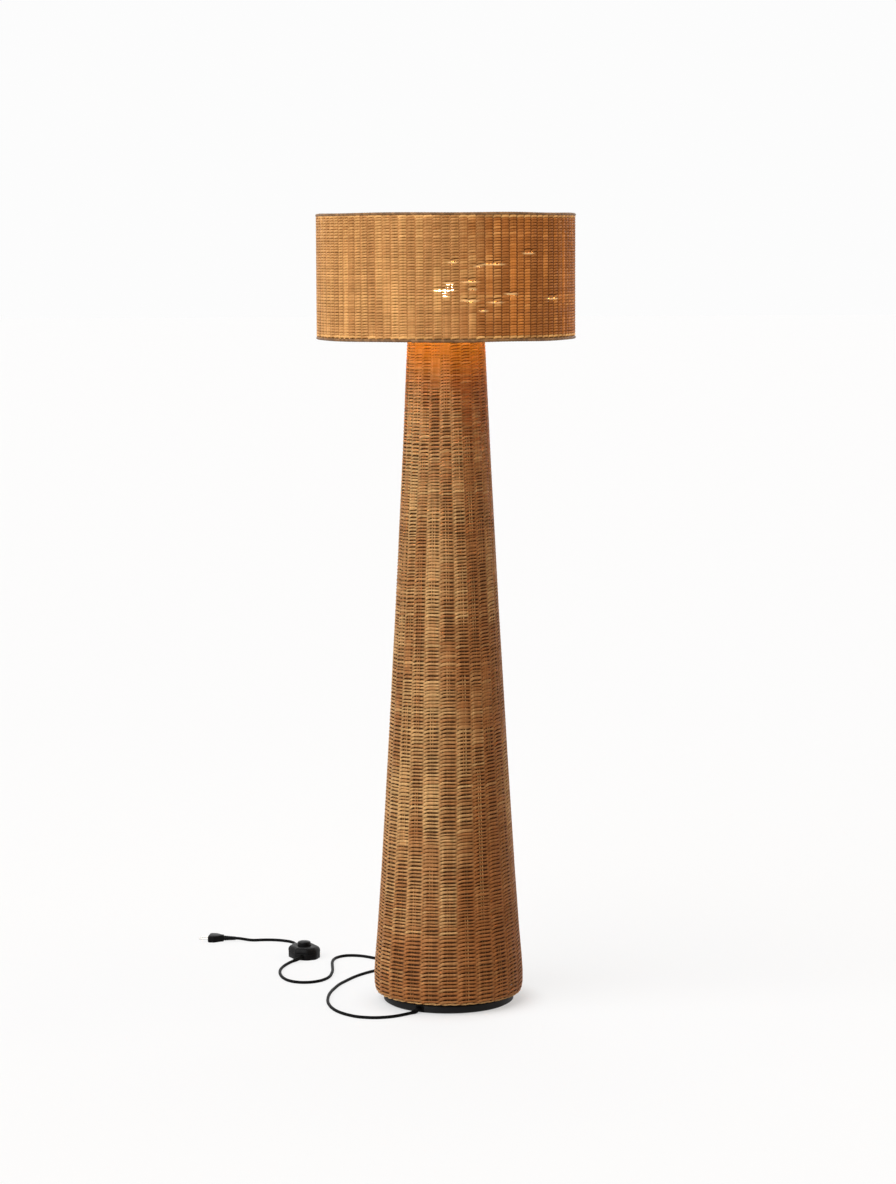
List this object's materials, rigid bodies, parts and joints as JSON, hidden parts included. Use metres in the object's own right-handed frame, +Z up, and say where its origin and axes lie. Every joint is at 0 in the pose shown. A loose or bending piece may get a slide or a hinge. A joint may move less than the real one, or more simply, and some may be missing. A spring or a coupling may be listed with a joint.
{
  "type": "floor lamp",
  "caption": "Floor lamp: tapered woven rattan column on a flat black disc, shallow woven drum shade round a glowing bulb, black lead with a foot switch and a plug.",
  "frame": {"origin": "centre of the base pad's underside, on the floor under the column's axis", "axes": "+Z up the column, the pictured front faces -Y, the lead lies to the left (-X) and behind (+Y)"},
  "size_m": [0.7638, 0.7726, 1.5],
  "materials": {
    "rattan": "woven, satin lacquer",
    "rattan_rim": "wrapped, satin lacquer",
    "base_iron": "black powder coat",
    "felt": "felt",
    "steel": "zinc plated",
    "wire": "dull grey-brown coat",
    "brass": "bright",
    "black_plastic": "fine matt texture",
    "black_rubber": "matt",
    "ceramic": "glazed white",
    "glass": "clear, warm when lit",
    "filament": "glowing yellow",
    "aluminium": "plain",
    "nickel": "nickel plated"
  },
  "bodies": {
    "stand": {"base_pad": "felt", "base_plate": "base_iron", "cord_bush": "black_rubber", "pole_tube": "wire", "pole_lower_plug": "steel", "pole_upper_plug": "steel", "pole_washer": "steel", "pole_nut": "steel", "pole_nipple": "steel", "column_frame": "wire", "column_foot_rim": "rattan_rim", "column_weave": "rattan", "column_top_rim": "rattan_rim", "column_spider": "wire", "spider_nut": "steel", "holder_nipple": "steel", "holder_cap": "black_plastic", "holder_shell": "black_plastic", "holder_insert": "ceramic", "holder_sleeve": "nickel", "holder_contact": "brass", "cord_in_lamp": "black_rubber", "cord_lamp_to_coil": "black_rubber", "cord_coil": "black_rubber", "coil_tie": "felt", "cord_coil_to_switch": "black_rubber", "switch_lower": "black_plastic", "switch_upper": "black_plastic", "switch_screw_1": "steel", "switch_screw_2": "steel", "switch_terminal_out": "brass", "switch_terminal_in": "brass", "cord_switch_to_plug": "black_rubber", "plug_body": "black_rubber", "plug_pin_1": "nickel", "plug_pin_2": "nickel"},
    "bulb": {"bulb_tip": "aluminium", "bulb_insulator": "black_plastic", "bulb_cap": "nickel", "bulb_glass": "glass", "bulb_stem": "filament"},
    "shade_ring": {"shade_ring": "black_plastic"},
    "shade": {"fitter_ring": "wire", "shade_arm_1": "wire", "shade_arm_2": "wire", "shade_arm_3": "wire", "shade_arm_4": "wire", "shade_bottom_wire": "wire", "shade_top_wire": "wire", "shade_weave": "rattan", "shade_bottom_rim": "rattan_rim", "shade_top_rim": "rattan_rim"},
    "button": {"switch_button": "black_plastic", "switch_spring": "steel"},
    "cam": {"switch_cam": "ceramic"}
  },
  "joints": [
    {"name": "button_press", "type": "slide", "parent": "stand", "child": "button", "axis": [0, 0, -1], "range_m": [0, 0.004], "stiffness_N_per_m": 400, "springref_m": -0.003, "deforming": ["switch_spring"]},
    {"name": "cam_turn", "type": "hinge", "parent": "stand", "child": "cam", "pos_m": [-0.294, 0.361, 0.005], "axis": [0, 0, 1], "range_deg": [0, 45]},
    {"name": "bulb_unscrew", "type": "hinge", "parent": "stand", "child": "bulb", "pos_m": [0, 0, 1.3], "axis": [0, 0, 1], "range_deg": [0, 1440]},
    {"name": "shade_ring_turn", "type": "hinge", "parent": "stand", "child": "shade_ring", "pos_m": [0, 0, 1.3], "axis": [0, 0, 1], "range_deg": [0, 1080]},
    {"name": "shade_swivel", "type": "hinge", "parent": "stand", "child": "shade", "pos_m": [0, 0, 1.295], "axis": [0, 0, 1], "continuous": true}
  ],
  "couplings": [
    {"joint": "cam_turn", "follows": "button_press", "rad_per_m": 195}
  ]
}
